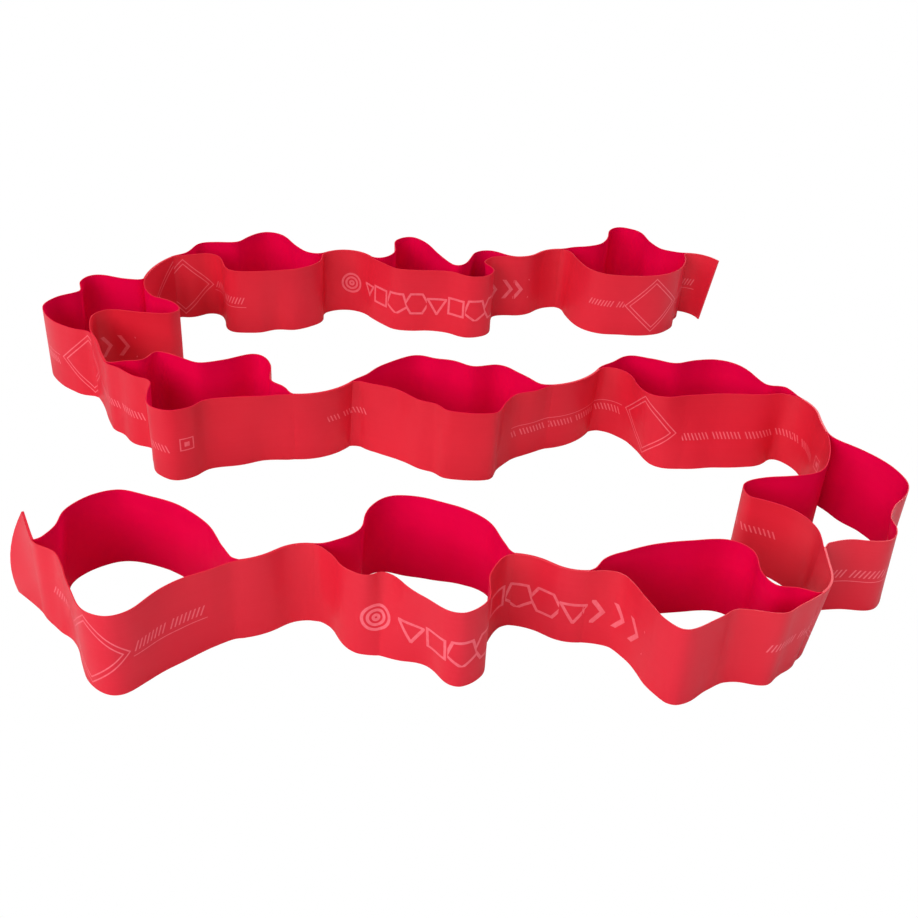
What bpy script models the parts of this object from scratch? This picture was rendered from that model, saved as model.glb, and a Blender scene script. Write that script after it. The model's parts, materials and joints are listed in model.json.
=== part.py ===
"""Looped resistance band, standing on edge in three rows.

Two rubber plies lie face to face. They are fused together at ten bonds, so the band is a chain of
eleven open loops with a short fused tab at each end. Lengths are in metres and Z is up. The band is
followed from its front end to its rear end: right and left are the sides of that walk.
"""
from math import cos, hypot, radians, sin

import bpy

MM = 0.001

# Driving sizes.
BAND_WIDTH = 0.0508       # across the strip, which is the height of the standing band
PLY_THICKNESS = 0.0006    # one rubber ply
LOOP_PITCH = 0.200        # from the middle of one bond to the middle of the next, along a flat ply
BOND_LENGTH = 0.041       # fused length between two loops
TAB_LENGTH = 0.0254       # fused length beyond the first and the last loop
PART_GAP = 0.0003         # between neighbouring solids that touch
WALL_SEGMENTS = 40
BOND_SEGMENTS = 5

BOND_THICKNESS = 2 * PLY_THICKNESS + PART_GAP
HINGE_GAP = 0.55 * BOND_THICKNESS              # across a bond, so that it can fold 55 degrees
PLY_OFFSET = (PLY_THICKNESS + PART_GAP) / 2    # from the middle of the band to the middle of a ply

# The plan points below are millimetres on a band of this pitch and width, and follow both sizes.
PLAN = MM * LOOP_PITCH / 0.200
LEAN = MM * BAND_WIDTH / 0.0508

# Middle of each bond: x, y, the heading there in degrees, and the degrees that the band turns to the
# left over the first and the second half of the bond.
BONDS = (
    (-77, -193, 45, 30, -50),
    (66, -190, -35, -35, 45),
    (213, -182, 88, 46, 0),
    (239, -25, 88, -10, 45),
    (90, 1, 219, -24, -25),
    (-71, -33, 210, -27, -27),
    (-224, 5, 113, -8, 12),
    (-217, 127, 74, -19, -19),
    (-79, 176, -3, -50, -50),
    (66, 192, 55, 55, -50),
)

# Where a tab meets its loop: x, y, heading there, and the degrees it turns to the left over the tab.
FRONT_TAB = (-202, -197, -58, 6)
REAR_TAB = (183, 209, 8, -52)

# Each loop's two plies between its bonds: x, y, and how far the foot stands to the right of the top.
# The right ply comes first.
LOOPS = (
    (((-187, -206, 3), (-172, -233, -2), (-162, -247, 0), (-149, -251, 2), (-138, -244, 0),
      (-124, -223, 4), (-108, -212, 1)),
     ((-194, -186, 0), (-193, -171, -2), (-184, -157, -1), (-170, -150, -1), (-152, -154, -2),
      (-134, -161, 0), (-116, -176, 0), (-104, -195, 0))),
    (((-49, -193, 0), (-40, -204, 1), (-29, -209, 3), (-19, -205, 7), (-1, -222, -4),
      (20, -233, -1), (33, -222, 0), (34, -200, 0)),
     ((-45, -181, 0), (-35, -171, 0), (-33, -154, -4), (-22, -140, 4), (-5, -138, 9),
      (18, -147, 4), (33, -159, -1), (41, -176, 0))),
    (((96, -193, 1), (104, -196, 1), (114, -215, 0), (121, -228, -1), (131, -235, 0),
      (150, -223, 0), (158, -217, 1), (182, -218, -1), (191, -211, -1)),
     ((95, -184, 0), (119, -170, 0), (146, -163, 0), (165, -162, 0), (174, -170, 0),
      (175, -187, 0), (181, -197, 0), (193, -198, 0))),
    (((224, -155, 0), (240, -154, -2), (253, -151, 0), (258, -140, 3), (257, -130, 7),
      (262, -119, 3), (272, -107, 0), (276, -93, -4), (269, -75, -6), (255, -62, -3)),
     ((213, -144, 0), (205, -131, -2), (190, -122, 0), (180, -118, 0), (179, -107, 0),
      (190, -100, 0), (213, -95, 0), (227, -89, 0), (234, -78, 0), (239, -60, 0))),
    (((224, 7, 0), (212, 9, 0), (203, 24, 0), (191, 36, 0), (178, 38, 0), (158, 29, 0),
      (140, 34, 0), (125, 35, 0), (111, 25, 0)),
     ((222, -1, 0), (205, -2, -10), (184, -2, -14), (161, -7, -13), (146, -13, -7),
      (135, -12, 1), (128, -3, 5), (123, 12, 0), (114, 19, 0))),
    (((62, -8, 0), (50, 4, 0), (37, 12, 0), (18, 9, 0), (-4, 16, 0), (-18, 19, 0),
      (-34, 8, 0), (-46, -8, 0)),
     ((61, -16, 3), (48, -22, 1), (41, -33, 0), (35, -46, 1), (6, -47, 0), (-1, -40, 0),
      (-13, -36, 0), (-27, -25, -2), (-45, -20, -1))),
    (((-99, -31, 0), (-108, -23, 0), (-111, -5, 0), (-123, 7, 0), (-142, -3, 0),
      (-157, -9, 0), (-172, -1, 0), (-186, 3, 0), (-192, -8, 0), (-202, -11, 0)),
     ((-110, -43, 3), (-130, -47, 0), (-144, -52, -1), (-151, -61, 0), (-163, -66, 0),
      (-175, -61, 1), (-179, -48, 0), (-181, -33, -1), (-193, -28, -2), (-204, -20, 0))),
    (((-239, 36, 0), (-240, 49, 0), (-231, 57, 0), (-210, 56, 0), (-190, 57, 0),
      (-185, 64, 0), (-193, 74, 0), (-208, 81, 0), (-217, 95, 0)),
     ((-249, 28, 0), (-265, 38, 1), (-276, 56, 0), (-271, 70, 0), (-258, 82, 0),
      (-262, 96, 0), (-257, 105, 0), (-243, 106, 0), (-230, 104, 0))),
    (((-199, 150, 3), (-184, 155, 1), (-174, 151, 0), (-164, 131, 0), (-155, 128, 0),
      (-130, 133, 0), (-110, 141, 0), (-99, 154, 0)),
     ((-199, 154, 0), (-193, 171, 0), (-184, 175, 0), (-166, 178, 0), (-158, 188, 0),
      (-147, 199, 0), (-134, 196, 0), (-120, 177, 0), (-109, 167, 0))),
    (((-50, 156, 1), (-40, 149, 1), (-20, 149, 1), (0, 150, 2), (16, 143, 0), (28, 147, 0),
      (32, 158, 0), (24, 172, 6), (32, 181, 2)),
     ((-51, 167, 0), (-44, 178, 0), (-44, 198, 0), (-34, 207, 0), (-22, 198, 0),
      (-9, 175, 0), (3, 160, 0), (11, 165, 0), (18, 184, 0), (30, 189, 0))),
    (((91, 199, 2), (96, 187, 3), (104, 171, 2), (117, 162, 0), (143, 162, 0), (162, 168, 1),
      (175, 180, 0), (181, 197, 1)),
     ((98, 207, 0), (115, 215, 0), (122, 226, 0), (126, 242, 0), (135, 251, 0),
      (149, 245, 0), (156, 226, 0), (164, 213, 0), (174, 209, 0))),
)
ROOT_LOOP = 5    # the loop that the others are hinged from, counted from zero

RUBBER_RED = (0.68, 0.03, 0.06, 1.0)


def arc(start, heading, turn, length, segments):
    """Points of an arc that leaves start at a heading and turns left by turn degrees."""
    step = length / segments
    points = [start]
    for index in range(segments):
        way = radians(heading + turn * (index + 0.5) / segments)
        x, y, foot = points[-1]
        points.append((x + step * cos(way), y + step * sin(way), foot))
    return points


def plan_point(x, y, foot=0):
    """A plan point in metres."""
    return (x * PLAN, y * PLAN, foot * LEAN)


def bond_halves(bond):
    """The middle lines of a bond's two halves, each followed the way the band runs."""
    x, y, heading, turn_in, turn_out = bond
    middle = plan_point(x, y)
    half = BOND_LENGTH / 2
    before = arc(middle, heading + 180, -turn_in, half, BOND_SEGMENTS)[::-1]
    after = arc(middle, heading, turn_out, half, BOND_SEGMENTS)
    return before, after


def flow_line(points, way_in, way_out):
    """A smooth line through points that starts along one heading and ends along another."""
    spans = [hypot(b[0] - a[0], b[1] - a[1]) for a, b in zip(points, points[1:])]
    slopes = [(cos(radians(way_in)), sin(radians(way_in)), 0)]
    for before, after, left, right in zip(points, points[2:], spans, spans[1:]):
        slopes.append(tuple((b - a) / (left + right) for a, b in zip(before, after)))
    slopes.append((cos(radians(way_out)), sin(radians(way_out)), 0))
    line = [points[0]]
    for index, span in enumerate(spans):
        ends = points[index], points[index + 1], slopes[index], slopes[index + 1]
        for part in range(1, 17):
            t = part / 16
            weights = ((1 + 2 * t) * (1 - t) ** 2, t * t * (3 - 2 * t),
                       span * t * (1 - t) ** 2, span * t * t * (t - 1))
            line.append(tuple(sum(w * end[axis] for w, end in zip(weights, ends))
                              for axis in range(3)))
    return line


def trimmed(line, cut_start, cut_end, segments):
    """The line with a length cut from each end, stepped evenly."""
    marks = [0.0]
    for a, b in zip(line, line[1:]):
        marks.append(marks[-1] + hypot(b[0] - a[0], b[1] - a[1]))
    first, last = cut_start, marks[-1] - cut_end
    result, index = [], 0
    for step in range(segments + 1):
        place = first + (last - first) * step / segments
        while index < len(marks) - 2 and marks[index + 1] < place:
            index += 1
        t = (place - marks[index]) / (marks[index + 1] - marks[index])
        result.append(tuple(a + (b - a) * t for a, b in zip(line[index], line[index + 1])))
    return result


def strip(line, ways, side_shift, thickness):
    """Corners and faces of a closed strip of rubber that stands on the line.

    ways are the headings at the line's two ends, which its end faces are square to. side_shift moves
    the strip to the right of the line.
    """
    corners = []
    for index, (x, y, foot) in enumerate(line):
        if index == 0:
            ahead = cos(radians(ways[0])), sin(radians(ways[0]))
        elif index == len(line) - 1:
            ahead = cos(radians(ways[1])), sin(radians(ways[1]))
        else:
            a, b = line[index - 1], line[index + 1]
            span = hypot(b[0] - a[0], b[1] - a[1])
            ahead = (b[0] - a[0]) / span, (b[1] - a[1]) / span
        for z, out in ((0, foot), (BAND_WIDTH, 0)):
            for half in (-thickness / 2, thickness / 2):
                shift = side_shift + out + half
                corners.append((x + ahead[1] * shift, y - ahead[0] * shift, z))
    faces = [(0, 1, 3, 2)]
    for index in range(len(line) - 1):
        k = 4 * index
        for a, b in ((1, 0), (3, 1), (2, 3), (0, 2)):
            faces.append((k + a, k + b, k + b + 4, k + a + 4))
    k = 4 * (len(line) - 1)
    faces.append((k + 2, k + 3, k + 1, k))
    return corners, faces


def tab_strips():
    """The fused tab at each end of the band, as name, loop and solid."""
    x, y, heading, turn = FRONT_TAB
    line = arc(plan_point(x, y), heading + 180, -turn, TAB_LENGTH, BOND_SEGMENTS)[::-1]
    yield "front_end_tab", 0, strip(line, (heading - turn, heading), 0, BOND_THICKNESS)
    x, y, heading, turn = REAR_TAB
    line = arc(plan_point(x, y), heading, turn, TAB_LENGTH, BOND_SEGMENTS)
    yield "rear_end_tab", len(LOOPS) - 1, strip(line, (heading, heading + turn), 0, BOND_THICKNESS)


def bond_strips():
    """Each bond as two solids, one on either side of the line where the band flexes."""
    for index, bond in enumerate(BONDS):
        before, after = bond_halves(bond)
        heading, turn_in, turn_out = bond[2:]
        for loop, line, ways, cuts in (
                (index, before, (heading - turn_in, heading), (0, HINGE_GAP / 2)),
                (index + 1, after, (heading, heading + turn_out), (HINGE_GAP / 2, 0))):
            yield (f"bond_{index + 1:02d}_on_loop_{loop + 1:02d}", loop,
                   strip(trimmed(line, *cuts, BOND_SEGMENTS), ways, 0, BOND_THICKNESS))


def wall_strips():
    """The two open plies of every loop, running smoothly out of one bond and into the next."""
    starts, ends = [(plan_point(*FRONT_TAB[:2]), FRONT_TAB[2])], []
    for bond in BONDS:
        before, after = bond_halves(bond)
        heading, turn_in, turn_out = bond[2:]
        ends.append((before[0], heading - turn_in))
        starts.append((after[-1], heading + turn_out))
    ends.append((plan_point(*REAR_TAB[:2]), REAR_TAB[2]))
    for loop, plies in enumerate(LOOPS):
        (start, way_in), (end, way_out) = starts[loop], ends[loop]
        for side, shift, plan in (("right", PLY_OFFSET, plies[0]), ("left", -PLY_OFFSET, plies[1])):
            points = [start] + [plan_point(*point) for point in plan] + [end]
            line = trimmed(flow_line(points, way_in, way_out), PART_GAP, PART_GAP, WALL_SEGMENTS)
            yield (f"loop_{loop + 1:02d}_{side}_wall", loop,
                   strip(line, (way_in, way_out), shift, PLY_THICKNESS))


def add_piece(name, corners, faces, origin):
    """One solid with its own rubber, its origin at the foot of the hinge that it turns on."""
    mesh = bpy.data.meshes.new(name)
    mesh.from_pydata([(x - origin[0], y - origin[1], z) for x, y, z in corners], [], faces)
    material = bpy.data.materials.new(name + "_rubber")
    material.use_nodes = True
    shader = material.node_tree.nodes["Principled BSDF"]
    shader.inputs["Base Color"].default_value = RUBBER_RED
    shader.inputs["Roughness"].default_value = 0.5
    material.diffuse_color = RUBBER_RED
    mesh.materials.append(material)
    piece = bpy.data.objects.new(name, mesh)
    piece.location = (origin[0], origin[1], 0)
    bpy.context.scene.collection.objects.link(piece)


def build_band():
    """Every tab, bond and wall, with the middle of the whole band's plan at the world's origin."""
    pieces = [*tab_strips(), *bond_strips(), *wall_strips()]
    middle = []
    for axis in (0, 1):
        places = [corner[axis] for _, _, (corners, _) in pieces for corner in corners]
        middle.append((min(places) + max(places)) / 2)
    for name, loop, (corners, faces) in pieces:
        corners = [(x - middle[0], y - middle[1], z) for x, y, z in corners]
        origin = (0, 0)
        if loop != ROOT_LOOP:
            x, y, _ = plan_point(*BONDS[loop if loop < ROOT_LOOP else loop - 1][:2])
            origin = (x - middle[0], y - middle[1])
        add_piece(name, corners, faces, origin)


for old in list(bpy.data.objects):
    bpy.data.objects.remove(old, do_unlink=True)
build_band()
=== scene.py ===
"""Looped resistance band: rubber plies, fused bonds and tabs, their print, and a white studio.

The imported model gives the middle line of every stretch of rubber. A Geometry Nodes tree sweeps a
section with chamfered edges along each line, and one rubber finish with a pale print covers them.
"""
import json
import logging
from dataclasses import dataclass, field
from enum import Enum
from functools import cached_property
from math import atan2, cos, pi, radians, sqrt

import bmesh
import bpy
from mathutils import Matrix, Vector
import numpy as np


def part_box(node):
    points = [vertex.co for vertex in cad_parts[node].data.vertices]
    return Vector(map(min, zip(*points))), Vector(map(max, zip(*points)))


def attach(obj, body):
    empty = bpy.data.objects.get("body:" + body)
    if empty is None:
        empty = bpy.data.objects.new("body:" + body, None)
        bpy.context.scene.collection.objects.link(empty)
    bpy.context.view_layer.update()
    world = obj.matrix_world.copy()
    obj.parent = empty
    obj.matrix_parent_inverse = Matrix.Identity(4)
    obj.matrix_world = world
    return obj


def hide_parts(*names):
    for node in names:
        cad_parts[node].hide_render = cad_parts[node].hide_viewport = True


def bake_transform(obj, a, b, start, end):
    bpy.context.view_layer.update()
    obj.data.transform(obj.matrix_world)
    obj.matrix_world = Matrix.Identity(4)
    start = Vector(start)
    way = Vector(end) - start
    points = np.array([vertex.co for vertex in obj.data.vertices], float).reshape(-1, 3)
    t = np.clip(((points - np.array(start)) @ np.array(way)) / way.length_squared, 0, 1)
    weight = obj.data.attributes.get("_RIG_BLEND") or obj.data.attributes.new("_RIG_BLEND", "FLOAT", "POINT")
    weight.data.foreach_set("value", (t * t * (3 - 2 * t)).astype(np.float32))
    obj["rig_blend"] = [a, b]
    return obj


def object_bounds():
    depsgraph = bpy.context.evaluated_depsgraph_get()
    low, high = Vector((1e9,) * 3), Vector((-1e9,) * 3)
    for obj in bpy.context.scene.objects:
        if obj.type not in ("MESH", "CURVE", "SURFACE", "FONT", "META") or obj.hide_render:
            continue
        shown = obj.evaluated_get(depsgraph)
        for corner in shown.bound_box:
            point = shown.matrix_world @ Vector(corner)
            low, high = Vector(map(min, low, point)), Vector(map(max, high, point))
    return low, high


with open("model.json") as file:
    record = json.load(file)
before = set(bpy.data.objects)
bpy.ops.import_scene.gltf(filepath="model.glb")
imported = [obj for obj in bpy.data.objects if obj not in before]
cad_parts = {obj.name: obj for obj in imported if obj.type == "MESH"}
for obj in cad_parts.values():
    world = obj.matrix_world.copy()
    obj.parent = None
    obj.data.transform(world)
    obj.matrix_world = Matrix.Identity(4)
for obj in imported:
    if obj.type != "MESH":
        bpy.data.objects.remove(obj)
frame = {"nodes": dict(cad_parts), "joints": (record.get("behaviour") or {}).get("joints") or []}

CAD_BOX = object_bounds()
LOG = logging.getLogger("resistance_band")

MM = 0.001
LOOPS = 11
BAND_WIDTH = CAD_BOX[1][2] - CAD_BOX[0][2]

# The flat band, which the print is laid out on.
LOOP_PITCH = 200 * MM
BOND_LENGTH = 41 * MM
TAB_LENGTH = 25.4 * MM
PLY_THICKNESS = 0.6 * MM
CAD_BOND_THICKNESS = 1.5 * MM
BOND_THICKNESS = 1.54 * MM    # a little over two plies, which run into it
STATION_SPACING = 4 * MM
TUCK = 1.5 * MM               # how far a wall runs into the bond at each end
STRAIGHT_END = 0.6 * MM       # how far a bond runs straight at each end, so that the walls meet it square
PLY_RIPPLE = 0.9 * MM
PATH_SPACING = 1.25 * MM      # between the rows of faces along a strip
RIPPLE_FADE = 12 * MM         # from a strip's end to where its ripple is whole
SAME_CORNER = 0.02 * MM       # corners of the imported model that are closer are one


class Side(Enum):
    """The two sides of the band, followed from its front end to its rear end."""

    RIGHT = 1
    LEFT = -1


class Page(Enum):
    """Where each face of the rubber lies on the print map, as metres added along the band."""

    RIGHT_OUTER = 0.0
    LEFT_OUTER = 5.0
    RIGHT_INNER = 10.0
    LEFT_INNER = 15.0


class Graph:
    """A node tree that is filled by calls, for materials and for Geometry Nodes alike."""

    def __init__(self, tree: bpy.types.NodeTree) -> None:
        """Starts on an empty tree."""
        self.tree = tree
        tree.nodes.clear()

    def node(self, kind: str, settings: dict | None = None, sockets: dict | None = None) -> bpy.types.Node:
        """Adds one node.

        Args:
            kind: The node's type.
            settings: Properties of the node, which are set first.
            sockets: Input name or index, to a value, a socket or a Number.

        Returns:
            The new node.
        """
        node = self.tree.nodes.new(kind)
        for name, value in (settings or {}).items():
            setattr(node, name, value)
        for key, value in (sockets or {}).items():
            socket = node.inputs[key]
            if isinstance(value, Number):
                value = value.socket
            if isinstance(value, bpy.types.NodeSocket):
                self.tree.links.new(value, socket)
            else:
                socket.default_value = value
        return node

    def number(self, kind: str, output: str | int = 0, settings: dict | None = None,
               sockets: dict | None = None) -> "Number":
        """Adds one node and wraps one of its outputs."""
        return Number(self, self.node(kind, settings, sockets).outputs[output])

    def mix(self, low: object, high: object, share: object) -> bpy.types.NodeSocket:
        """Mixes two colours.

        Args:
            low: The colour where share is 0.
            high: The colour where share is 1.
            share: A Number or a plain number.

        Returns:
            The mixed colour's socket.
        """
        node = self.node("ShaderNodeMix", {"data_type": "RGBA"})
        sockets = {s.identifier: s for s in node.inputs}
        for name, value in (("Factor_Float", share), ("A_Color", low), ("B_Color", high)):
            if isinstance(value, Number):
                value = value.socket
            if isinstance(value, bpy.types.NodeSocket):
                self.tree.links.new(value, sockets[name])
            else:
                sockets[name].default_value = value
        return next(s for s in node.outputs if s.identifier == "Result_Color")


class Number:
    """A value in a node tree, which Python's operators work on."""

    def __init__(self, graph: Graph, socket: bpy.types.NodeSocket) -> None:
        """Wraps a socket of the graph."""
        self.graph, self.socket = graph, socket

    def math(self, operation: str, *others: object, clamp: bool = False) -> "Number":
        """Adds a Math node on this value and up to two others."""
        values = dict(enumerate((self, *others)))
        return self.graph.number("ShaderNodeMath", 0, {"operation": operation, "use_clamp": clamp}, values)

    def _after(self, operation: str, other: object) -> "Number":
        """A Math node with the other value first."""
        return self.graph.number("ShaderNodeMath", 0, {"operation": operation}, {0: other, 1: self})

    def __add__(self, other: object) -> "Number":
        """Sum."""
        return self.math("ADD", other)

    __radd__ = __add__

    def __sub__(self, other: object) -> "Number":
        """Difference."""
        return self.math("SUBTRACT", other)

    def __rsub__(self, other: object) -> "Number":
        """Difference, with this value taken from the other."""
        return self._after("SUBTRACT", other)

    def __mul__(self, other: object) -> "Number":
        """Product."""
        return self.math("MULTIPLY", other)

    __rmul__ = __mul__

    def __truediv__(self, other: object) -> "Number":
        """Quotient."""
        return self.math("DIVIDE", other)

    def __rtruediv__(self, other: object) -> "Number":
        """Quotient, with this value below."""
        return self._after("DIVIDE", other)

    def __abs__(self) -> "Number":
        """Size without sign."""
        return self.math("ABSOLUTE")

    def least(self, other: object) -> "Number":
        """The lower of two values."""
        return self.math("MINIMUM", other)

    def most(self, other: object) -> "Number":
        """The higher of two values."""
        return self.math("MAXIMUM", other)

    def wrapped(self, period: object) -> "Number":
        """The remainder after whole periods, from 0 to the period."""
        return self.math("WRAP", period, 0.0)

    def below(self, limit: object, blur: float) -> "Number":
        """1 where this value is under the limit and 0 over it, with an edge as wide as blur."""
        return ((limit - self) / blur + 0.5).math("ADD", 0.0, clamp=True)

    def ramp(self, low: float, high: float) -> "Number":
        """0 at low and 1 at high, smoothly between, and flat beyond."""
        return self.graph.number("ShaderNodeMapRange", 0, {"interpolation_type": "SMOOTHSTEP"},
                                 {0: self, 1: low, 2: high, 3: 0.0, 4: 1.0})


# ---------------------------------------------------------------------------------------- print

@dataclass(frozen=True)
class Mark:
    """One printed mark: where it starts and ends along the ply, and up the band, in metres."""

    start: float
    end: float
    low: float
    high: float

    EDGE = 0.16 * MM    # how soft the ink's edge is

    def box(self, along: Number, up: Number, low: float, high: float) -> Number:
        """The mark's own length, between two heights.

        Args:
            along: Metres along the ply.
            up: Metres up the band.
            low: The lower height.
            high: The upper height.

        Returns:
            1 inside and 0 outside.
        """
        middle, half = (self.start + self.end) / 2, (self.end - self.start) / 2
        across = abs(along - middle).below(half, self.EDGE)
        return across * abs(up - (low + high) / 2).below((high - low) / 2, self.EDGE)

    def ink(self, along: Number, up: Number) -> Number:
        """1 where there is ink."""
        raise NotImplementedError


@dataclass(frozen=True)
class Lozenge(Mark):
    """An outlined lozenge inside another, which fills most of the band's width."""

    line: float = 0.7 * MM
    inset: float = 0.16

    def ink(self, along: Number, up: Number) -> Number:
        """Draws the two thin outlines.

        Args:
            along: Metres along the ply.
            up: Metres up the band.

        Returns:
            1 where there is ink and 0 elsewhere.
        """
        half_long, half_high = (self.end - self.start) / 2, (self.high - self.low) / 2
        far = abs(along - (self.start + self.end) / 2) / half_long
        far = far + abs(up - (self.low + self.high) / 2) / half_high
        slope = half_long * half_high / sqrt(half_long ** 2 + half_high ** 2)
        outer = (abs(far - 0.98) * slope).below(self.line / 2, self.EDGE)
        inner = (abs(far - 0.98 + self.inset) * slope).below(self.line / 2, self.EDGE)
        return outer.most(inner)


@dataclass(frozen=True)
class Caption(Mark):
    """A line of small slanted dashes in groups, with a thin rule under or over it."""

    rule: float = 0.0     # from the dashes to the rule, under them if it is negative, or 0 for none
    pitch: float = 2.5 * MM
    stroke: float = 0.9 * MM
    group: int = 9

    def ink(self, along: Number, up: Number) -> Number:
        """Draws the dashes and the rule.

        Args:
            along: Metres along the ply.
            up: Metres up the band.

        Returns:
            1 where there is ink and 0 elsewhere.
        """
        slanted = along - self.start - (up - self.low) * 0.45
        dash = abs(slanted.wrapped(self.pitch) - self.pitch / 2).below(self.stroke / 2, self.EDGE)
        gap = slanted.wrapped(self.pitch * self.group).below(self.pitch * (self.group - 1), self.EDGE)
        ink = dash * gap * self.box(along, up, self.low, self.high)
        if self.rule:
            foot = self.low + self.rule if self.rule < 0 else self.high + self.rule
            ink = ink.most(self.box(along, up, foot - 0.25 * MM, foot + 0.25 * MM))
        return ink


@dataclass(frozen=True)
class Figures(Mark):
    """A row of large outlined figures, from a triangle to a hexagon and over again."""

    pitch: float = 16.0 * MM
    line: float = 1.7 * MM

    def ink(self, along: Number, up: Number) -> Number:
        """Draws the outlines.

        Args:
            along: Metres along the ply.
            up: Metres up the band.

        Returns:
            1 where there is ink and 0 elsewhere.
        """
        place = along - self.start
        sides = (place / self.pitch).math("FLOOR").wrapped(4.0) + 3.0
        across, rise = place.wrapped(self.pitch) - self.pitch / 2, up - (self.low + self.high) / 2
        sector = (2 * pi) / sides
        turn = across.math("ARCTAN2", rise).math("WRAP", sector * 0.5, sector * -0.5)
        squeeze = (sector * 0.5).math("COSINE")
        far = (across * across + rise * rise).math("SQRT") * turn.math("COSINE")
        radius = squeeze * ((self.high - self.low) / 2 + 1.2 * MM) - self.line / 2
        return abs(far - radius).below(self.line / 2, self.EDGE) * self.box(along, up, self.low, self.high)


@dataclass(frozen=True)
class Chevrons(Mark):
    """A row of large chevrons in solid strokes."""

    pitch: float = 13.0 * MM
    stroke: float = 2.6 * MM
    depth: float = 6.0 * MM

    def ink(self, along: Number, up: Number) -> Number:
        """Draws the strokes.

        Args:
            along: Metres along the ply.
            up: Metres up the band.

        Returns:
            1 where there is ink and 0 elsewhere.
        """
        middle, half = (self.low + self.high) / 2, (self.high - self.low) / 2
        bent = along - self.start + abs(up - middle) * (self.depth / half)
        slant = sqrt(half ** 2 + self.depth ** 2) / half
        place = bent.wrapped(self.pitch)
        strokes = abs(place - self.pitch / 2).below(self.stroke * slant / 2, self.EDGE)
        return strokes * self.box(along, up, self.low, self.high)


@dataclass(frozen=True)
class Rings(Mark):
    """Rings about one middle, round a solid disc."""

    def ink(self, along: Number, up: Number) -> Number:
        """Draws the rings and the disc.

        Args:
            along: Metres along the ply.
            up: Metres up the band.

        Returns:
            1 where there is ink and 0 elsewhere.
        """
        across, rise = along - (self.start + self.end) / 2, up - (self.low + self.high) / 2
        far = (across * across + rise * rise).math("SQRT")
        pitch = (self.high - self.low) / 6
        rings = abs(far.wrapped(pitch) - pitch / 2).below(pitch * 0.28, self.EDGE)
        return rings * far.below((self.high - self.low) / 2, self.EDGE)


@dataclass(frozen=True)
class Sign(Mark):
    """A small outlined tile with a dot in it."""

    def ink(self, along: Number, up: Number) -> Number:
        """Draws the outline and the dot.

        Args:
            along: Metres along the ply.
            up: Metres up the band.

        Returns:
            1 where there is ink and 0 elsewhere.
        """
        half = (self.end - self.start) / 2
        far = abs(along - (self.start + self.end) / 2).most(abs(up - (self.low + self.high) / 2))
        outline = abs(far - half * 0.9).below(0.35 * MM, self.EDGE)
        return outline.most(far.below(half * 0.35, self.EDGE))


@dataclass(frozen=True)
class PlyPrint:
    """The marks on one ply's outer face, which repeat along the band."""

    page: Page
    marks: tuple[Mark, ...]
    repeat: float = 508 * MM

    TURNS = range(-1, 6)    # the repeats that can reach the band

    def ink(self, along: Number, up: Number, first: float, last: float) -> Number | None:
        """The ink on the stretch of the flat band from first to last.

        Args:
            along: Metres along the flat band, on this ply's page of the print map.
            up: Metres up the band's width.
            first: Where the stretch starts.
            last: Where it ends.

        Returns:
            1 where there is ink, or None if the stretch has no mark.
        """
        total = None
        for mark in self.marks:
            for turn in self.TURNS:
                shift = turn * self.repeat
                if mark.end + shift < first or mark.start + shift > last:
                    continue
                ink = mark.ink(along - (self.page.value + shift), up)
                total = ink if total is None else total.most(ink)
        return total


def mm_mark(kind: type[Mark], start: float, end: float, low: float, high: float, **more: float) -> Mark:
    """A mark from sizes in millimetres."""
    return kind(start * MM, end * MM, low * MM, high * MM, **{k: v * MM for k, v in more.items()})


PRINTS = {
    Side.RIGHT: PlyPrint(Page.RIGHT_OUTER, (
        mm_mark(Caption, 40, 70, 24, 29),
        mm_mark(Lozenge, 70, 118, 3, 48),
        mm_mark(Caption, 119, 164, 24, 29.5, rule=-2.6),
        mm_mark(Rings, 262, 280, 15, 33),
        mm_mark(Figures, 284, 428, 14, 32),
        mm_mark(Chevrons, 430, 469, 15, 31),
    )),
    Side.LEFT: PlyPrint(Page.LEFT_OUTER, (
        mm_mark(Caption, 155, 188, 27, 31.5),
        mm_mark(Sign, 274, 283, 21, 30),
        mm_mark(Caption, 288, 398, 20, 25),
        mm_mark(Lozenge, 402, 450, 3, 48),
        mm_mark(Caption, 453, 549, 18, 23, rule=2.6),
    )),
}

# How far the print has slipped along the band on a loop, where the rubber was pulled unevenly.
SLIP = {(8, Side.LEFT): -12 * MM, (9, Side.RIGHT): 16 * MM, (10, Side.RIGHT): 8 * MM}


# ------------------------------------------------------------------------------------- finishes

Colour = tuple[float, float, float, float]


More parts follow.
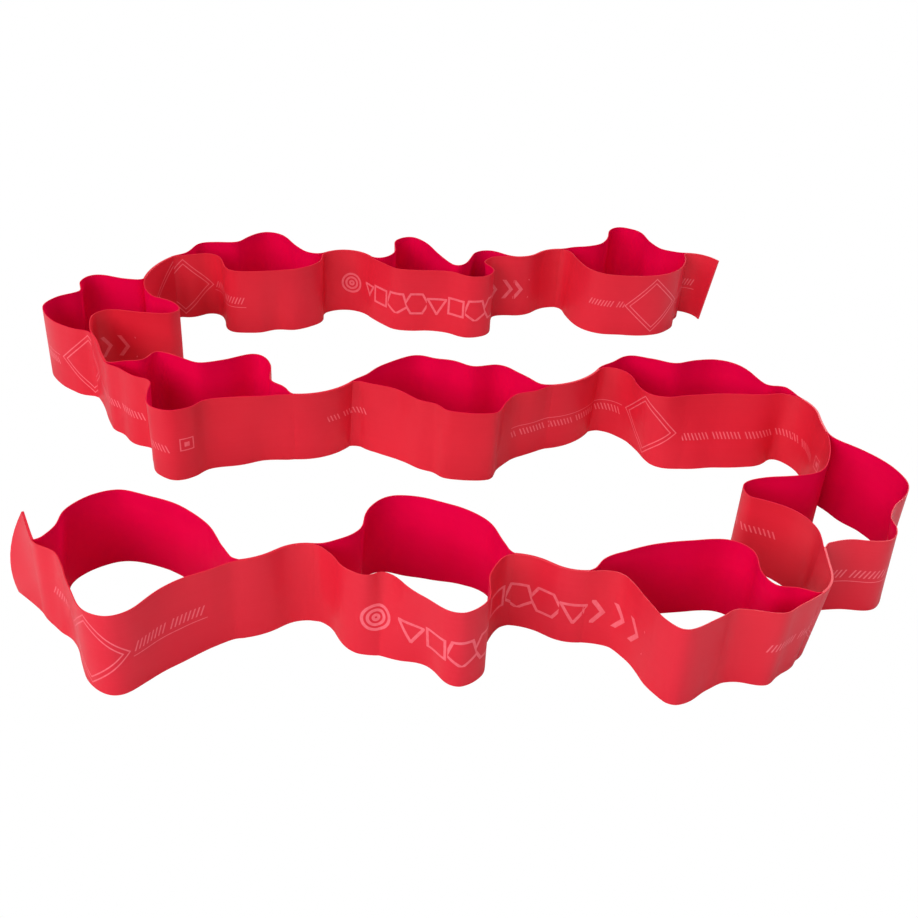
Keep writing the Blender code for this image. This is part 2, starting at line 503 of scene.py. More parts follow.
@dataclass(frozen=True)
class RubberFinish:
    """Matt red latex with a soft bloom outside, a painted glow on its inner faces, cut edges with a painted
    highlight and dust specks, and a pale translucent print.
    """

    # Painted light: the outer colour holds a touch of painted sheen, and the inner colour is the same rubber
    # painted brighter and redder, a painted glow of light through the thin plies and bouncing between the
    # red walls.
    outer: Colour = (0.74, 0.018, 0.040, 1.0)
    inner: Colour = (0.82, 0.0, 0.068, 1.0)
    deep: Colour = (0.62, 0.0, 0.025, 1.0)
    bright: Colour = (0.88, 0.03, 0.08, 1.0)
    # Painted highlight and dust: the lighter colour of the cut edges stands in for light catching them,
    # flecked with dust specks.
    edge: Colour = (0.84, 0.020, 0.045, 1.0)
    ink: Colour = (1.0, 0.24, 0.30, 1.0)
    ink_cover: float = 0.55
    roughness: float = 0.46
    sheen: float = 0.4

    def material(self, name: str, prints: tuple[tuple[PlyPrint, float, float], ...]) -> bpy.types.Material:
        """The rubber of one piece.

        Args:
            name: The material's name.
            prints: Each print on the piece, and the stretch of the flat band that it covers.

        Returns:
            A node material that reads the piece's print map.
        """
        material = bpy.data.materials.new(name)
        material.use_nodes = True
        material.diffuse_color = self.outer
        graph = Graph(material.node_tree)
        place = graph.node("ShaderNodeUVMap", {"uv_map": "Print"}).outputs[0]
        split = graph.node("ShaderNodeSeparateXYZ", None, {0: place})
        along, up = Number(graph, split.outputs[0]), Number(graph, split.outputs[1])
        inside = 1 - along.below(Page.RIGHT_INNER.value - 1, 1.0)

        mottle = self.noise(graph, along, up, 28, 22, 3)
        streaks = self.noise(graph, along, up, 14, 900, 2)
        grain = self.noise(graph, along, up, 1500, 1500, 2)
        specks = self.noise(graph, along, up, 420, 420, 1)

        # Painted glow: the inner faces take the brighter, redder inner colour.
        colour = graph.mix(self.outer, self.inner, inside)
        colour = graph.mix(colour, self.deep, (0.62 - mottle).most(0.0) * 0.35)
        colour = graph.mix(colour, self.bright, (streaks - 0.42).most(0.0) * 0.2)
        # Painted highlight and dust: the cut edges and the half millimetre beside them turn lighter, flecked
        # by the specks.
        rim = (abs(up - BAND_WIDTH / 2)).ramp(BAND_WIDTH / 2 - 0.45 * MM, BAND_WIDTH / 2 - 0.1 * MM)
        colour = graph.mix(colour, self.edge, rim * (0.45 + 0.4 * specks))
        ink = None
        for layout, first, last in prints:
            part = layout.ink(along, up, first, last)
            if part is not None:
                ink = part if ink is None else ink.most(part)
        rough = self.roughness + (mottle - 0.5) * 0.16 + (grain - 0.5) * 0.10
        height = grain * 0.12 + streaks * 0.9 + mottle * 1.2
        if ink is not None:
            worn = ink * (self.ink_cover + (specks - 0.5) * 0.35 + (mottle - 0.5) * 0.2)
            colour = graph.mix(colour, self.ink, worn.math("ADD", 0.0, clamp=True))
            rough = rough + ink * 0.06
            height = height + ink * 0.5
        bump = graph.node("ShaderNodeBump", None,
                          {"Strength": 0.25, "Distance": 0.05 * MM, "Height": height})
        shader = graph.node("ShaderNodeBsdfPrincipled", None, {
            "Base Color": colour, "Roughness": rough, "Normal": bump.outputs[0],
            "Specular IOR Level": 0.03, "Coat Weight": (1 - inside) * self.sheen,
            "Coat Roughness": 0.38})
        graph.node("ShaderNodeOutputMaterial", None, {0: shader.outputs[0]})
        return material

    @staticmethod
    def noise(graph: Graph, along: Number, up: Number, fine_along: float, fine_up: float,
              detail: float) -> Number:
        """Adds noise that is finer one way than the other.

        Args:
            graph: The material's graph.
            along: Metres along the flat band.
            up: Metres up the band.
            fine_along: Bumps a metre along it.
            fine_up: Bumps a metre up it.
            detail: How many finer layers it has.

        Returns:
            The noise, about 0.5.
        """
        spot = graph.node("ShaderNodeCombineXYZ", None, {0: along * fine_along, 1: up * fine_up, 2: 0.0})
        return graph.number("ShaderNodeTexNoise", 0, {"noise_dimensions": "2D"},
                            {"Vector": spot.outputs[0], "Scale": 1.0, "Detail": detail, "Roughness": 0.55})


RUBBER = RubberFinish()


# ------------------------------------------------------------------------------------- geometry

@dataclass
class Station:
    """One place along a strip: the middle of its bottom edge and of its top edge."""

    foot: Vector
    head: Vector
    right: Vector = field(default_factory=lambda: Vector((1, 0, 0)))

    @property
    def middle(self) -> Vector:
        """Halfway up."""
        return (self.foot + self.head) / 2

    def moved(self, ahead: float) -> "Station":
        """The station pushed straight ahead by some metres."""
        step = Vector((-self.right.y, self.right.x, 0)) * ahead
        return Station(self.foot + step, self.head + step, self.right)

    def leaned(self, foot_out: float, head_out: float = 0.0) -> "Station":
        """The station with its foot and its top pushed to the right by some metres."""
        return Station(self.foot + self.right * foot_out, self.head + self.right * head_out, self.right)


def turned_round(stations: list[Station]) -> list[Station]:
    """The stations in the opposite order, each with its right on the other side."""
    return [Station(s.foot, s.head, -s.right) for s in reversed(stations)]


def spread(line: list[Vector], count: int) -> list[Vector]:
    """Points at even distances along a line of straight pieces.

    Args:
        line: The line's corners.
        count: How many points to make, both ends among them.

    Returns:
        The points.
    """
    reach = [0.0]
    for before, after in zip(line, line[1:]):
        reach.append(reach[-1] + (after - before).length)
    points, piece = [], 0
    for index in range(count):
        wanted = reach[-1] * index / (count - 1)
        while piece < len(line) - 2 and reach[piece + 1] < wanted:
            piece += 1
        share = (wanted - reach[piece]) / (reach[piece + 1] - reach[piece])
        points.append(line[piece].lerp(line[piece + 1], min(share, 1.0)))
    return points


def rails(mesh: bmesh.types.BMesh, top: bool, start: Vector, thickness: float) -> list[list[Vector]]:
    """The two long edges of a strip's top face or bottom face.

    Args:
        mesh: The strip, with its corners joined.
        top: True for the top face.
        start: A point near the end that the edges start from.
        thickness: The strip's, which its ends are known by.

    Returns:
        Two lines of corners.
    """
    level = {v for v in mesh.verts if (v.co.z > BAND_WIDTH / 2) == top}
    rim = {e for e in mesh.edges
           if set(e.verts) <= level and any(set(f.verts) - level for f in e.link_faces)}
    ends = sorted(rim, key=lambda e: abs(e.calc_length() - thickness))[:2]
    near = min(ends, key=lambda e: (e.verts[0].co.xy - start.xy).length)
    sides, lines = rim - set(ends), []
    for corner in near.verts:
        line, used = [corner], set()
        while edge := next((e for e in line[-1].link_edges if e in sides - used), None):
            used.add(edge)
            line.append(edge.other_vert(line[-1]))
        lines.append([v.co.copy() for v in line])
    return lines


def read_strip(node: str, start: Vector, thickness: float) -> list[Station]:
    """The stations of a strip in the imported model.

    Args:
        node: The CAD node.
        start: A point near the end that the stations start from.
        thickness: The strip's.

    Returns:
        Stations in order along the strip, which look square to its ends there.
    """
    mesh = bmesh.new()
    mesh.from_mesh(frame["nodes"][node].data)
    bmesh.ops.remove_doubles(mesh, verts=mesh.verts, dist=SAME_CORNER)
    feet, heads = (rails(mesh, top, start, thickness) for top in (False, True))
    mesh.free()
    length = sum((b - a).length for a, b in zip(heads[0], heads[0][1:]))
    count = round(length / STATION_SPACING) + 1
    lines = []
    for sides in (feet, heads):
        right, left = (spread(side, count) for side in sides)
        lines.append([(a + b) / 2 for a, b in zip(right, left)])
    stations = [Station(foot, head) for foot, head in zip(*lines)]
    for index, station in enumerate(stations):
        ahead = stations[min(index + 1, count - 1)].middle - stations[max(index - 1, 0)].middle
        station.right = Vector((ahead.y, -ahead.x, 0)).normalized()
    for end in (0, -1):
        across = (feet[0][end] - feet[1][end]).normalized()
        stations[end].right = across if across.dot(stations[end].right) > 0 else -across
    return stations


@dataclass(frozen=True)
class Section:
    """The strip's cross-section: an upright bar with chamfered edges."""

    thickness: float
    chamfer: float = 0.12 * MM
    rows: int = 10

    @cached_property
    def outline(self) -> list[tuple[float, float]]:
        """The corners of the cross-section.

        Returns:
            Points from the foot of the right face, up it, and down the left face.
        """
        half, low, high = self.thickness / 2, self.chamfer, BAND_WIDTH - self.chamfer
        rise = [low + (high - low) * row / self.rows for row in range(self.rows + 1)]
        inset = half - self.chamfer
        return ([(half, z) for z in rise] + [(inset, BAND_WIDTH), (-inset, BAND_WIDTH)]
                + [(-half, z) for z in reversed(rise)] + [(-inset, 0.0), (inset, 0.0)])

    def curve(self, name: str) -> bpy.types.Object:
        """Makes the section as a closed curve, whose height runs down its Y.

        Args:
            name: The curve's name.

        Returns:
            The curve object, in no collection yet.
        """
        data = bpy.data.curves.new(name, "CURVE")
        data.dimensions = "3D"
        spline = data.splines.new("POLY")
        spline.points.add(len(self.outline) - 1)
        for point, (x, z) in zip(spline.points, self.outline):
            point.co = (x, BAND_WIDTH / 2 - z, 0, 1)
        spline.use_cyclic_u = True
        return bpy.data.objects.new(name, data)

    def side(self, index: int) -> Side | None:
        """The face that a point of the outline is on.

        Args:
            index: The point's place in the outline.

        Returns:
            The face, or None on an edge.
        """
        if index <= self.rows:
            return Side.RIGHT
        return Side.LEFT if self.rows + 3 <= index <= 2 * self.rows + 3 else None


class Sweep:
    """The Geometry Nodes tree that runs a section along a strip's middle line."""

    def __init__(self) -> None:
        """Builds the tree and keeps its inputs' identifiers."""
        self.tree = bpy.data.node_groups.new("Rubber strip", "GeometryNodeTree")
        self.inputs = {}
        graph = Graph(self.tree)
        self.add_input("Path", "NodeSocketGeometry")
        self.add_input("Section", "NodeSocketObject")
        self.add_input("Spacing", "NodeSocketFloat")
        self.add_input("Ripple", "NodeSocketFloat")
        self.add_input("Fade", "NodeSocketFloat")
        self.add_input("Bow", "NodeSocketFloat")
        self.add_input("Seed", "NodeSocketFloat")
        self.add_input("Material", "NodeSocketMaterial")
        self.tree.interface.new_socket("Strip", in_out="OUTPUT", socket_type="NodeSocketGeometry")
        given = {s.name: s for s in graph.node("NodeGroupInput").outputs}

        smooth = graph.node("GeometryNodeCurveSplineType", {"spline_type": "CATMULL_ROM"},
                            {"Curve": given["Path"]})
        smooth = graph.node("GeometryNodeSetSplineResolution", None,
                            {"Geometry": smooth.outputs[0], "Resolution": 8})
        even = graph.node("GeometryNodeResampleCurve", {"mode": "LENGTH"},
                          {"Curve": smooth.outputs[0], "Length": given["Spacing"]})
        upright = graph.node("GeometryNodeSetCurveNormal", {"mode": "Z_UP"}, {"Curve": even.outputs[0]})
        length = graph.number("GeometryNodeSplineParameter", "Length")
        path = self.keep(graph, upright.outputs[0], "FLOAT", "along", length.socket)
        normal = graph.node("GeometryNodeInputNormal").outputs[0]
        path = self.keep(graph, path, "FLOAT_VECTOR", "sideways", normal)
        total = graph.number("GeometryNodeSplineLength", "Length")
        path = self.keep(graph, path, "FLOAT", "whole", total.socket)

        section = graph.node("GeometryNodeObjectInfo", None, {"Object": given["Section"]})
        index = graph.node("GeometryNodeInputIndex").outputs[0]
        outline = self.keep(graph, section.outputs["Geometry"], "FLOAT", "outline", index)

        strip = graph.node("GeometryNodeCurveToMesh", None,
                           {"Curve": path, "Profile Curve": outline, "Fill Caps": True})
        along = self.read(graph, "along")
        whole = self.read(graph, "whole")
        sideways = graph.node("GeometryNodeInputNamedAttribute", {"data_type": "FLOAT_VECTOR"},
                              {"Name": "sideways"}).outputs["Attribute"]
        height = Number(graph, graph.node("ShaderNodeSeparateXYZ", None, {
            0: graph.node("GeometryNodeInputPosition").outputs[0]}).outputs[2])
        spot = graph.node("ShaderNodeCombineXYZ", None, {
            0: along * 42, 1: height * 9, 2: Number(graph, given["Seed"])})
        noise = graph.number("ShaderNodeTexNoise", 0, {"noise_dimensions": "3D"},
                             {"Vector": spot.outputs[0], "Scale": 1.0, "Detail": 2.0, "Roughness": 0.5})
        fade = Number(graph, given["Fade"])
        near_end = (along.least(whole - along) / fade).math("ADD", 0.0, clamp=True)
        push = (noise - 0.5) * Number(graph, given["Ripple"]) * near_end * near_end
        level = height / (BAND_WIDTH / 2) - 1
        start = (1 - along / whole).math("POWER", 1.5)
        push = push + (1 - level * level) * Number(graph, given["Bow"]) * start
        offset = graph.node("ShaderNodeVectorMath", {"operation": "SCALE"}, {0: sideways, "Scale": push})
        rippled = graph.node("GeometryNodeSetPosition", None,
                             {"Geometry": strip.outputs[0], "Offset": offset.outputs[0]})
        real = graph.node("GeometryNodeRealizeInstances", None, {0: rippled.outputs[0]})
        dressed = graph.node("GeometryNodeSetMaterial", None,
                             {"Geometry": real.outputs[0], "Material": given["Material"]})
        graph.node("NodeGroupOutput", None, {0: dressed.outputs[0]})

    def add_input(self, name: str, kind: str) -> None:
        """Adds a named input to the tree."""
        socket = self.tree.interface.new_socket(name, in_out="INPUT", socket_type=kind)
        self.inputs[name] = socket.identifier

    @staticmethod
    def keep(graph: Graph, geometry: bpy.types.NodeSocket, kind: str, name: str,
             value: bpy.types.NodeSocket) -> bpy.types.NodeSocket:
        """Stores a value on the points under a name.

        Args:
            graph: The tree's graph.
            geometry: What holds the points.
            kind: The value's data type.
            name: Its name.
            value: The value at each point.

        Returns:
            The geometry with the value on it.
        """
        node = graph.node("GeometryNodeStoreNamedAttribute", {"data_type": kind, "domain": "POINT"},
                          {"Geometry": geometry, "Name": name, "Value": value})
        return node.outputs[0]

    @staticmethod
    def read(graph: Graph, name: str) -> Number:
        """A stored number."""
        return graph.number("GeometryNodeInputNamedAttribute", "Attribute", {"data_type": "FLOAT"},
                            {"Name": name})

    def run(self, name: str, stations: list[Station], section: Section, material: bpy.types.Material,
            ripple: float, seed: float, bow: float = 0.0) -> bpy.types.Object:
        """Sweeps one strip and leaves it as a plain mesh.

        Args:
            name: The piece's name.
            stations: Where the strip runs.
            section: Its cross-section.
            material: Its finish.
            ripple: How far its surface wanders, in metres.
            seed: Picks the ripple.
            bow: How far the middle of its first end stands to the right, in metres.

        Returns:
            The piece, at the origin.
        """
        data = bpy.data.curves.new(name + "_path", "CURVE")
        data.dimensions = "3D"
        spline = data.splines.new("POLY")
        spline.points.add(len(stations) - 1)
        for point, station in zip(spline.points, stations):
            rise = station.head - station.foot
            sway = rise.dot(station.right)
            tilt = atan2(sway, BAND_WIDTH)
            middle = (station.head + station.foot) / 2
            half = BAND_WIDTH / 2 * BAND_WIDTH / sqrt(BAND_WIDTH ** 2 + sway ** 2)
            point.co = (middle.x, middle.y, half, 1)
            point.tilt = tilt
        path = bpy.data.objects.new(name + "_path", data)
        bpy.context.scene.collection.objects.link(path)
        profile = section.curve(name + "_section")
        bpy.context.scene.collection.objects.link(profile)
        modifier = path.modifiers.new("Strip", "NODES")
        modifier.node_group = self.tree
        for key, value in (("Section", profile), ("Spacing", PATH_SPACING), ("Ripple", ripple),
                           ("Fade", RIPPLE_FADE), ("Seed", float(seed)), ("Bow", bow),
                           ("Material", material)):
            modifier[self.inputs[key]] = value
        bpy.context.view_layer.update()
        graph = bpy.context.evaluated_depsgraph_get()
        mesh = bpy.data.meshes.new_from_object(path.evaluated_get(graph), depsgraph=graph)
        for done in (path, profile):
            curve = done.data
            bpy.data.objects.remove(done)
            bpy.data.curves.remove(curve)
        mesh.name = name
        piece = bpy.data.objects.new(name, mesh)
        bpy.context.scene.collection.objects.link(piece)
        if not mesh.materials:
            mesh.materials.append(material)
        return piece


@dataclass
class Stretch:
    """The part of the flat band that one face of a piece shows."""

    page: Page
    first: float
    last: float


def dress_strip(piece: bpy.types.Object, section: Section, faces: dict[Side, Stretch]) -> None:
    """Turns the faces outwards, keeps the edges crisp, and lays the print's map and a flat map.

    Args:
        piece: The swept strip.
        section: The section it was swept with.
        faces: What each side of it shows of the flat band.
    """
    gap, margin = 2 * MM, 0.002
    mesh = bmesh.new()
    mesh.from_mesh(piece.data)
    bmesh.ops.recalc_face_normals(mesh, faces=mesh.faces)
    along_of = mesh.verts.layers.float["along"]
    outline_of = mesh.verts.layers.float["outline"]
    print_map = mesh.loops.layers.uv.new("Print")
    bake_map = mesh.loops.layers.uv.new("OFBake")
    whole = max(v[along_of] for v in mesh.verts)
    scale = 1 / max(whole + 6 * MM, 2 * BAND_WIDTH + 8 * MM)
    right_page, left_page = faces[Side.RIGHT], faces[Side.LEFT]
    for face in mesh.faces:
        points = [round(v[outline_of]) for v in face.verts]
        alongs = [v[along_of] for v in face.verts]
        cap = max(alongs) - min(alongs) < 1e-6
        sides = {section.side(p) for p in points}
        side = sides.pop() if len(sides) == 1 and not cap else None
        face.smooth = side is not None
        for loop, point, along in zip(face.loops, points, alongs):
            x, z = section.outline[point]
            page = left_page if side is Side.LEFT else right_page
            flat = page.page.value + page.first + (page.last - page.first) * along / whole
            loop[print_map].uv = (flat, z)
            if cap:
                spot = (whole + (1.5 if along < whole / 2 else 3.5) * MM + x, z)
            elif side is Side.RIGHT:
                spot = (along, z)
            elif side is Side.LEFT:
                spot = (along, BAND_WIDTH + gap + z)
            else:
                base = 2 * BAND_WIDTH + (2 if z > BAND_WIDTH / 2 else 3) * gap
                spot = (along, base + x * (0.5 if section.thickness > MM else 1.0))
            loop[bake_map].uv = (spot[0] * scale + margin, spot[1] * scale + margin)
        for edge in face.edges:
            if side is None:
                edge.smooth = False
    mesh.to_mesh(piece.data)
    mesh.free()
    for name in ("along", "outline", "sideways", "whole"):
        if name in piece.data.attributes:
            piece.data.attributes.remove(piece.data.attributes[name])


SWEEP = Sweep()
PLY_SECTION = Section(PLY_THICKNESS)
BOND_SECTION = Section(BOND_THICKNESS, chamfer=0.2 * MM)


def flat_start(loop: int) -> float:
    """Where a loop starts on the flat band, from its number."""
    return TAB_LENGTH + (loop - 1) * LOOP_PITCH


def strip_length(stations: list[Station]) -> float:
    """Length of the line halfway up the strip."""
    return sum((b.middle - a.middle).length for a, b in zip(stations, stations[1:]))


def hinge_point(bond: int) -> Vector:
    """Where a bond bends, from its number."""
    joint = next(j for j in frame["joints"] if j["name"] == f"bond_{bond:02d}_fold")
    return Vector(joint["pos_m"])


@dataclass
class Bond:
    """The fused rubber between two loops, which bends in its middle."""

    number: int
    foot_out: float = 0.0        # how far its foot stands to the right of its top
    bend: float = 8 * MM         # how far each way from its middle it bends

    @cached_property
    def stations(self) -> list[Station]:
        """Both CAD halves as one line.

        Returns:
            Stations from the loop before to the loop after.
        """
        hinge, bond = hinge_point(self.number), self.number
        before = read_strip(f"bond_{bond:02d}_on_loop_{bond:02d}", hinge, CAD_BOND_THICKNESS)
        after = read_strip(f"bond_{bond:02d}_on_loop_{bond + 1:02d}", hinge, CAD_BOND_THICKNESS)
        return turned_round(before) + after

    def build(self) -> bpy.types.Object:
        """Makes the piece, which follows both loops.

        Returns:
            The bond.
        """
        stations = [s.leaned(self.foot_out) for s in self.stations]
        stations.insert(1, stations[0].moved(STRAIGHT_END))
        stations.insert(-1, stations[-1].moved(-STRAIGHT_END))
        start = flat_start(self.number + 1) - BOND_LENGTH
        faces, prints = {}, []
        for side, page in ((Side.RIGHT, Page.RIGHT_OUTER), (Side.LEFT, Page.LEFT_OUTER)):
            slip = (SLIP.get((self.number, side), 0) + SLIP.get((self.number + 1, side), 0)) / 2
            first = start - slip
            faces[side] = Stretch(page, first, first + BOND_LENGTH)
            prints.append((PRINTS[side], first, first + BOND_LENGTH))
        name = f"fused_bond_{self.number:02d}"
        material = RUBBER.material(name + "_rubber", tuple(prints))
        piece = SWEEP.run(name, stations, BOND_SECTION, material, 0.0, self.number)
        dress_strip(piece, BOND_SECTION, faces)
        loops = self.number, self.number + 1
        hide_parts(*(f"bond_{self.number:02d}_on_loop_{loop:02d}" for loop in loops))
        strip_length(stations)
        hinge = hinge_point(self.number)
        middle = len(self.stations) // 2
        ahead = (self.stations[middle].foot - self.stations[middle - 1].foot).normalized()
        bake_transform(piece, *(f"loop_{loop:02d}" for loop in loops),
                 start=tuple(hinge - ahead * self.bend), end=tuple(hinge + ahead * self.bend))
        return piece


@dataclass
class Tab:
    """The fused end of the band."""

    node: str
    loop: int
    flat: float                  # where it starts on the flat band
    foot_out: float              # how far the free end's foot stands to the right
    head_out: float              # the same for its top
    at_start: bool
    bow: float = 0.0             # how far the middle of the free end stands out further

    def build(self) -> bpy.types.Object:
        """Makes the piece, which rides on its loop.

        Returns:
            The tab.
        """
        joint = hinge_point(1 if self.at_start else LOOPS - 1)
        stations = read_strip(self.node, joint, CAD_BOND_THICKNESS)
        if self.at_start:
            stations = turned_round(stations)
        count = len(stations) - 1
        leaned = []
        for index, station in enumerate(stations):
            share = 1 - index / count if self.at_start else index / count
            leaned.append(station.leaned(self.foot_out * share ** 1.3, self.head_out * share ** 1.3))
        if self.at_start:
            leaned.insert(-1, leaned[-1].moved(-STRAIGHT_END))
        else:
            leaned.insert(1, leaned[0].moved(STRAIGHT_END))
        faces = {Side.RIGHT: Stretch(Page.RIGHT_OUTER, self.flat, self.flat + TAB_LENGTH),
                 Side.LEFT: Stretch(Page.LEFT_OUTER, self.flat, self.flat + TAB_LENGTH)}
        prints = tuple((PRINTS[side], self.flat, self.flat + TAB_LENGTH) for side in Side)
        material = RUBBER.material(self.node + "_rubber", prints)
        piece = SWEEP.run("fused_" + self.node, leaned, BOND_SECTION, material, 0.0, 0, self.bow)
        dress_strip(piece, BOND_SECTION, faces)
        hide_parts(self.node)
        strip_length(leaned)
        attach(piece, f"loop_{self.loop:02d}")
        return piece


@dataclass
class Loop:
    """One open loop: two plies that part at one bond and meet at the next."""

    number: int
    start_out: float = 0.0       # how far the bond before it leans, as Bond.foot_out
    end_out: float = 0.0         # the same for the bond after it
    settle: float = 22 * MM      # how far into the loop those leans die away

    def build(self) -> list[bpy.types.Object]:
        """Makes both walls, which leave a bond the same way and ride on the loop's body.

        Returns:
            The right wall and the left wall.
        """
        lines = {side: read_strip(self.node(side), self.start_point(), PLY_THICKNESS) for side in Side}
        for end in (0, -1):
            lines[Side.LEFT][end].right = lines[Side.RIGHT][end].right
        return [self.wall(side, stations) for side, stations in lines.items()]

    def node(self, side: Side) -> str:
        """The CAD node of one wall."""
        return f"loop_{self.number:02d}_{side.name.lower()}_wall"

    def leaned(self, side: Side, stations: list[Station]) -> list[Station]:
        """Leans a wall as the bonds beside it do, and swings its foot and its top.

        Args:
            side: Which wall it is.
            stations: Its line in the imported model.

        Returns:
            The wall's own line, which runs a little way into the bonds.
        """
        length = strip_length(stations)
        run, leaned = 0.0, []
        for index, station in enumerate(stations):
            if index:
                run += (station.middle - stations[index - 1].middle).length
            share_in = max(0.0, 1 - run / self.settle) ** 2
            share_out = max(0.0, 1 - (length - run) / self.settle) ** 2
            foot = self.start_out * share_in + self.end_out * share_out
            rest = min(1.0, run / self.settle, (length - run) / self.settle)
            swings = [(rest * self.swell(run / length - place), low, high) for place, low, high in
                      SWINGS.get((self.number, side), ())]
            foot += sum(share * low * MM for share, low, _ in swings)
            leaned.append(station.leaned(foot, sum(share * high * MM for share, _, high in swings)))
        return [leaned[0].moved(-TUCK), *leaned, leaned[-1].moved(TUCK)]

    def wall(self, side: Side, stations: list[Station]) -> bpy.types.Object:
        """Makes one wall.

        Args:
            side: Which wall it is.
            stations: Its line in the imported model.

        Returns:
            The wall.
        """
        node, line = self.node(side), self.leaned(side, stations)
        slip = SLIP.get((self.number, side), 0)
        first = flat_start(self.number) - slip
        last = first + LOOP_PITCH - BOND_LENGTH
        outer = Page.RIGHT_OUTER if side is Side.RIGHT else Page.LEFT_OUTER
        inner = Page.RIGHT_INNER if side is Side.RIGHT else Page.LEFT_INNER
        faces = {side: Stretch(outer, first, last)}
        faces[Side.LEFT if side is Side.RIGHT else Side.RIGHT] = Stretch(inner, first, last)
        material = RUBBER.material(node + "_rubber", ((PRINTS[side], first, last),))
        name = f"loop_{self.number:02d}_{side.name.lower()}_ply"
        seed = self.number * 3 + side.value
        piece = SWEEP.run(name, line, PLY_SECTION, material, PLY_RIPPLE, seed)
        dress_strip(piece, PLY_SECTION, faces)
        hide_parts(node)
        strip_length(line)
        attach(piece, f"loop_{self.number:02d}")
        return piece

    @staticmethod
    def swell(off: float) -> float:
        """A bump that is 1 in its middle and 0 from a tenth of the wall's length away."""
        return cos(pi * off / 0.2) ** 2 if abs(off) < 0.1 else 0.0

    def start_point(self) -> Vector:
        """A point in the bond or tab that this loop starts from.

        Returns:
            The bond's hinge, or the middle of the tab.
        """
        if self.number > 1:
            return hinge_point(self.number - 1)
        low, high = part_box("front_end_tab")
        return (Vector(low) + Vector(high)) / 2


# --------------------------------------------------------------------------------------- studio

@dataclass
class Studio:
    """White floor, soft light and the camera."""

    floor_size: float = 12.0

    def build(self) -> None:
        """Makes the floor, the lights, the world and the camera."""
        self.floor()
        self.light("Key light", (-1.9, -1.2, 1.3), (0, 0, 0.02), 1.6, 24)
        self.light("Fill light", (2.0, -1.4, 1.4), (0, 0, 0.02), 1.2, 5)
        self.light("Front light", (-0.8, -2.3, 1.2), (0, 0, 0.02), 1.2, 25)
        self.light("Back light", (1.2, 2.0, 1.6), (0, 0, 0.02), 1.2, 40)
        self.light("Top light", (0, 0, 2.6), (0, 0, 0.02), 1.2, 9)
        self.world()
        self.camera()

    def floor(self) -> None:
        """A white sweep that the camera sees as plain white."""
        mesh = bmesh.new()
        bmesh.ops.create_grid(mesh, x_segments=1, y_segments=1, size=self.floor_size / 2)
        bmesh.ops.translate(mesh, verts=mesh.verts, vec=(0, 0, -0.3 * MM))
        data = bpy.data.meshes.new("Floor")
        mesh.to_mesh(data)
        mesh.free()
        floor = bpy.data.objects.new("Floor", data)
        bpy.context.scene.collection.objects.link(floor)
        material = bpy.data.materials.new("White sweep")
        material.use_nodes = True
        graph = Graph(material.node_tree)
        paper = graph.node("ShaderNodeBsdfDiffuse", None, {"Color": (0.86, 0.86, 0.86, 1)})
        glow = graph.node("ShaderNodeEmission", None, {"Color": (1, 1, 1, 1), "Strength": 1.0})
        seen = graph.number("ShaderNodeLightPath", "Is Camera Ray")
        both = graph.node("ShaderNodeMixShader", None, {0: seen, 1: paper.outputs[0], 2: glow.outputs[0]})
        graph.node("ShaderNodeOutputMaterial", None, {0: both.outputs[0]})
        data.materials.append(material)

    @staticmethod
    def light(name: str, place: tuple[float, float, float], aim: tuple[float, float, float],
              size: float, power: float) -> None:
        """Adds one square soft box.

        Args:
            name: Its name.
            place: Where it stands.
            aim: The point that it looks at.
            size: Its side, in metres.
            power: In watts.
        """
        data = bpy.data.lights.new(name, "AREA")
        data.shape, data.size, data.energy = "SQUARE", size, power
        lamp = bpy.data.objects.new(name, data)
        lamp.location = place
        way = Vector(aim) - Vector(place)
        lamp.rotation_euler = way.to_track_quat("-Z", "Y").to_euler()
        bpy.context.scene.collection.objects.link(lamp)

    @staticmethod
    def world() -> None:
        """Even soft light from all round, behind a white backdrop."""
        world = bpy.data.worlds.new("Studio")
        world.use_nodes = True
        graph = Graph(world.node_tree)
        sky = graph.node("ShaderNodeBackground", None, {"Color": (1, 1, 1, 1), "Strength": 0.28})
        backdrop = graph.node("ShaderNodeBackground", None, {"Color": (1, 1, 1, 1), "Strength": 1.0})
        seen = graph.number("ShaderNodeLightPath", "Is Camera Ray")
        both = graph.node("ShaderNodeMixShader", None, {0: seen, 1: sky.outputs[0], 2: backdrop.outputs[0]})
        graph.node("ShaderNodeOutputWorld", None, {0: both.outputs[0]})
        bpy.context.scene.world = world
        bpy.context.scene.view_settings.view_transform = "Standard"

    @staticmethod
    def camera() -> None:
        """A camera in front of the band that looks down on it."""
        data = bpy.data.cameras.new("Camera")
        data.sensor_width, data.lens = 36.0, 48.1
        camera = bpy.data.objects.new("Camera", data)
        down, roll = radians(34.12), radians(3.536)
        turn = Matrix.Rotation(pi / 2 - down, 4, "X") @ Matrix.Rotation(roll, 4, "Z")
        camera.matrix_world = Matrix.Translation((0.0145, -0.6871, 0.4496)) @ turn
        bpy.context.scene.collection.objects.link(camera)
        bpy.context.scene.camera = camera


# How far each bond's foot stands to the right of its top.
BOND_LEANS = {1: 2.5 * MM, 2: -1.5 * MM, 3: -5 * MM, 5: 3 * MM, 6: 3 * MM, 7: 0.5 * MM, 9: 0.5 * MM,
              10: -0.5 * MM}

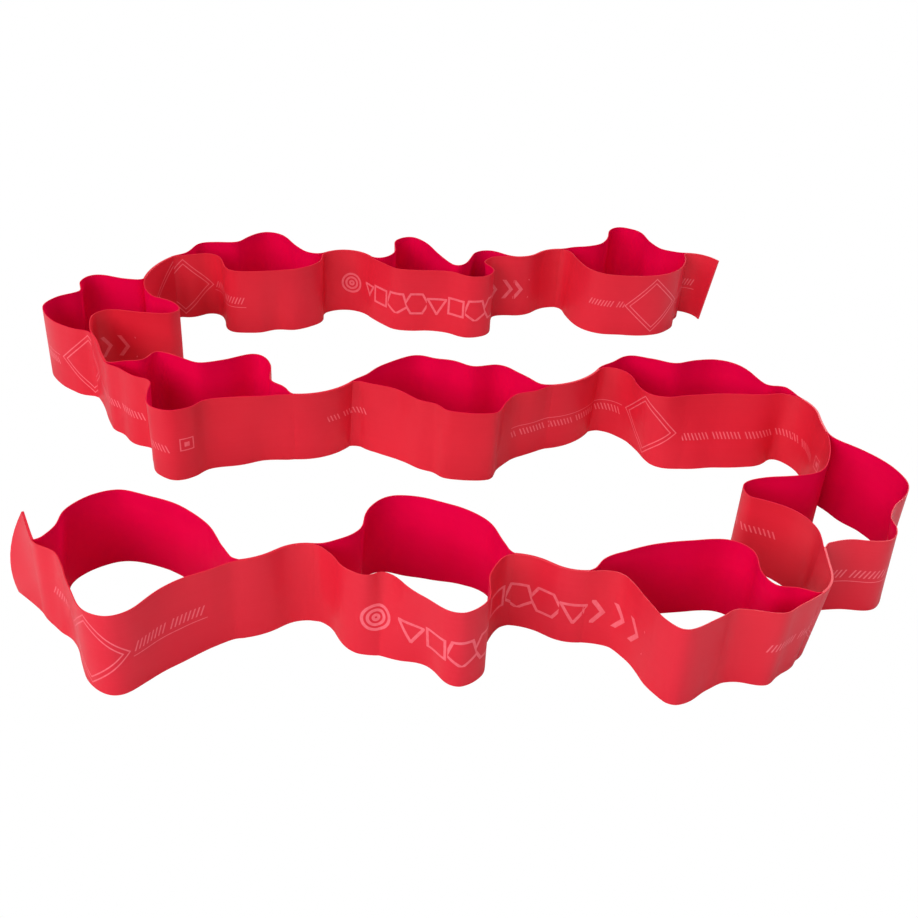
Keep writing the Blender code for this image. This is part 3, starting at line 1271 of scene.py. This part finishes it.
# Where a wall's foot and top swing out to the right of its drawn line: the share of its length, then
# both distances in millimetres.
SWINGS = {
    (1, Side.RIGHT): ((0.08, 2.0, 0.0), (0.20, -1.4, 0.0), (0.34, 1.4, -0.6), (0.68, -0.8, -1.0)),
    (2, Side.RIGHT): ((0.04, -1.5, -0.5), (0.22, 1.5, -0.5), (0.35, 1.6, -0.8), (0.48, -2.0, -1.3)),
    (2, Side.LEFT): ((0.47, 2.0, 0.0), (0.60, 1.0, 0.5)),
    (3, Side.RIGHT): ((0.22, -1.6, 0.0), (0.50, 1.3, 0.0), (0.71, -1.7, 0.0), (0.90, -1.6, 0.0)),
    (3, Side.LEFT): ((0.10, 0.0, -1.2), (0.53, -0.6, -0.4)),
    (4, Side.RIGHT): ((0.12, -1.2, -1.5), (0.85, -1.8, 1.3)),
    (4, Side.LEFT): ((0.22, 1.0, 0.5),),
    (5, Side.LEFT): ((0.13, -1.6, 0.0), (0.38, 1.0, 0.0), (0.67, 1.4, 0.0), (0.83, 1.2, 0.0)),
    (5, Side.RIGHT): ((0.33, 0.0, 1.3), (0.57, 0.0, 2.4), (0.83, 0.0, 1.6)),
    (6, Side.LEFT): ((0.28, 2.0, 0.0), (0.64, -1.3, 0.0), (0.82, -0.8, 0.0)),
    (6, Side.RIGHT): ((0.08, 0.0, 1.5), (0.27, 0.0, 1.2), (0.47, 0.0, 2.8), (0.86, 0.0, 1.2)),
    (7, Side.LEFT): ((0.08, 1.4, 0.0), (0.22, -1.2, 0.0), (0.46, -1.4, 0.0), (0.73, -1.5, 0.0),
                     (0.88, -1.5, 0.0)),
    (7, Side.RIGHT): ((0.03, 0.0, 2.0), (0.32, 0.0, 1.3), (0.59, 0.0, 0.8)),
    (8, Side.LEFT): ((0.03, -2.0, 0.0), (0.78, 0.0, -1.7)),
    (9, Side.RIGHT): ((0.18, -1.7, 0.0), (0.38, 1.3, 0.0), (0.64, -3.0, 0.0), (0.90, 1.2, 0.0)),
    (9, Side.LEFT): ((0.50, 0.0, -1.3),),
    (10, Side.RIGHT): ((0.36, -1.2, 0.0), (0.53, 1.6, 0.0), (0.84, 1.4, 0.0)),
    (10, Side.LEFT): ((0.25, 0.0, -1.0), (0.87, 0.0, -2.0)),
    (11, Side.RIGHT): ((0.47, -0.9, 0.0), (0.89, -3.6, 0.0)),
    (11, Side.LEFT): ((0.05, 0.0, -2.6), (0.47, 0.0, -1.8), (0.94, 0.0, -1.9)),
}


def main() -> None:
    """Builds the band and its studio."""
    logging.basicConfig(level=logging.INFO, format="%(message)s")
    Studio().build()
    rear = flat_start(LOOPS) + LOOP_PITCH - BOND_LENGTH
    pieces = [Tab("front_end_tab", 1, 0.0, 9 * MM, -1.2 * MM, True, bow=5.5 * MM).build(),
              Tab("rear_end_tab", LOOPS, rear, 9 * MM, 0.0, False).build()]
    for number in range(1, LOOPS):
        pieces.append(Bond(number, BOND_LEANS.get(number, 0.0)).build())
    for number in range(1, LOOPS + 1):
        pieces += Loop(number, BOND_LEANS.get(number - 1, 0.0), BOND_LEANS.get(number, 0.0)).build()
    for piece in pieces:
        LOG.info("%s: %d faces", piece.name, len(piece.data.polygons))


if __name__ == "__main__":
    main()
